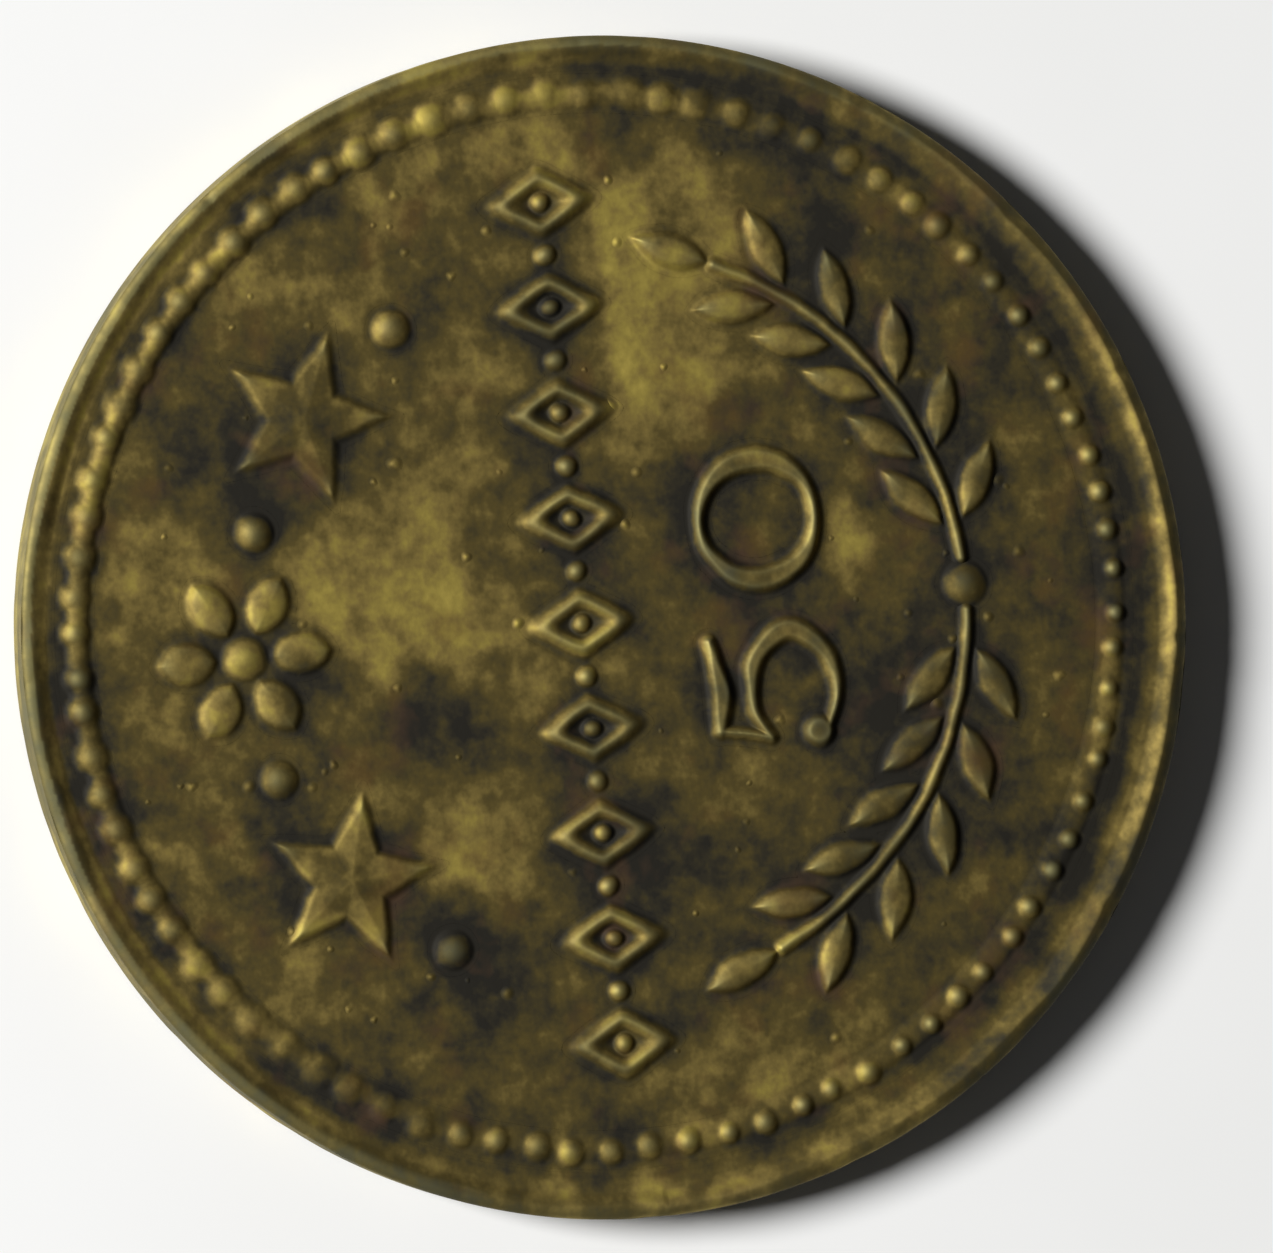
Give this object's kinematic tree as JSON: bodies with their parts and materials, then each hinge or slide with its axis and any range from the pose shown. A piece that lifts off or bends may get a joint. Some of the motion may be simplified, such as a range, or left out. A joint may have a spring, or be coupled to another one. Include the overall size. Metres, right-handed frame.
{
  "type": "token",
  "caption": "Round struck brass token with a raised rim, a bead circle and stars, lozenges and laurel sprays in low relief on one face and a plain field on the other.",
  "frame": {"origin": "centre of the plane that the reverse rim rests on", "axes": "+Z out of the obverse, +Y to the top of the obverse design, +X along its reading direction"},
  "size_m": [0.024, 0.024, 0.0015],
  "materials": {
    "field_brass": "tarnished",
    "worn_brass": "worn"
  },
  "bodies": {
    "root": {"flan": "field_brass", "obverse_rim": "worn_brass", "reverse_rim": "worn_brass", "obverse_beads": "worn_brass", "reverse_beads": "worn_brass", "left_star": "worn_brass", "top_rosette": "worn_brass", "right_star": "worn_brass", "stop_pellets": "worn_brass", "lozenge_band": "worn_brass", "left_spray": "worn_brass", "right_spray": "worn_brass"}
  },
  "joints": []
}
